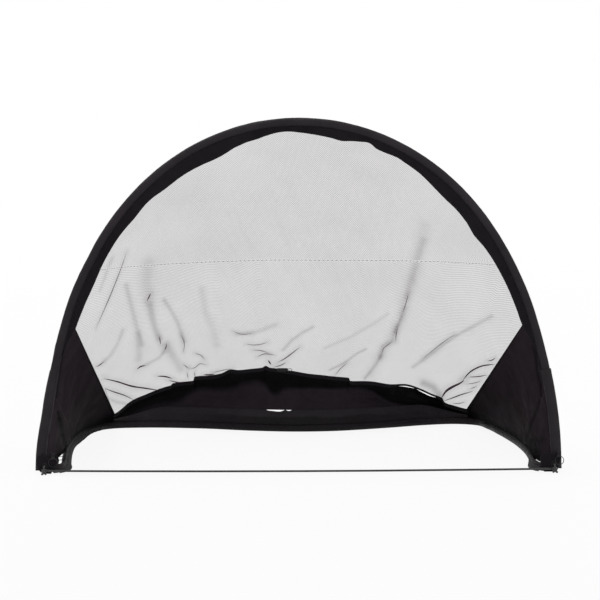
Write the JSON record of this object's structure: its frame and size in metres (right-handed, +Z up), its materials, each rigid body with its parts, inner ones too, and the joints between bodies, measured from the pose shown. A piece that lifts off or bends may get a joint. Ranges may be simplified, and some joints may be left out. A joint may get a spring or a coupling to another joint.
{
  "type": "pop-up soccer goal",
  "caption": "Pop-up soccer goal: a sleeved spring hoop stands as a leaning arch over a floor loop, closed by a fine net, side gussets and a back skirt.",
  "frame": {"origin": "on the floor, in the middle of the space that the goal takes up without its tether cord", "axes": "+X to the right as seen from in front of the mouth, +Y back from the mouth, +Z up"},
  "size_m": [1.207, 0.8459, 0.8146],
  "materials": {
    "sleeve_fabric": "plain-woven black polyester, slightly shiny",
    "facing_fabric": "folded black polyester binding, matt",
    "panel_fabric": "soft black polyester panel with creases",
    "net_mesh": "fine see-through polyester mesh",
    "webbing": "black ribbed webbing",
    "cord_fabric": "thin black braided cord",
    "spring_steel": "flat spring steel, oiled",
    "wire_steel": "dark nickel-plated wire and eyelet"
  },
  "bodies": {
    "base": {"ground_sleeve": "sleeve_fabric", "ground_spring": "spring_steel", "spring_ferrule": "spring_steel", "ground_band": "sleeve_fabric", "back_skirt": "panel_fabric", "net_hem": "facing_fabric", "net_lower": "net_mesh", "net_upper": "net_mesh", "net_seam_tape": "net_mesh", "gusset_left": "panel_fabric", "gusset_right": "panel_fabric", "corner_patch_left": "panel_fabric", "corner_patch_right": "panel_fabric", "corner_boot_left": "sleeve_fabric", "corner_boot_right": "sleeve_fabric", "eyelet_left": "wire_steel", "eyelet_right": "wire_steel", "ring_tab_left": "webbing", "ring_tab_right": "webbing", "tether_cord": "cord_fabric", "cord_knot_left": "cord_fabric", "cord_knot_right": "cord_fabric", "stow_tab": "webbing", "stow_loop": "cord_fabric"},
    "arch": {"arch_sleeve": "sleeve_fabric", "arch_spring": "spring_steel", "arch_facing": "facing_fabric", "leg_cuff_left": "sleeve_fabric", "leg_cuff_right": "sleeve_fabric"},
    "ring_left": {"peg_ring_left": "wire_steel"},
    "ring_right": {"peg_ring_right": "wire_steel"}
  },
  "joints": [
    {"name": "arch_fold", "type": "hinge", "parent": "base", "child": "arch", "pos_m": [-0.00125, -0.38877, 0.012], "axis": [-1, 0, 0], "range_deg": [0, 74], "stiffness_Nm_per_rad": 2.5, "springref_deg": -17.19, "deforming": ["net_lower", "net_upper", "net_seam_tape", "net_hem", "back_skirt", "gusset_left", "gusset_right", "corner_patch_left", "corner_patch_right", "stow_tab", "stow_loop"]},
    {"name": "ring_swing_left", "type": "hinge", "parent": "base", "child": "ring_left", "pos_m": [-0.56425, -0.40563, 0.037], "axis": [-1, 0, 0], "range_deg": [0, 120]},
    {"name": "ring_swing_right", "type": "hinge", "parent": "base", "child": "ring_right", "pos_m": [0.59275, -0.40563, 0.037], "axis": [-1, 0, 0], "range_deg": [0, 120]}
  ]
}
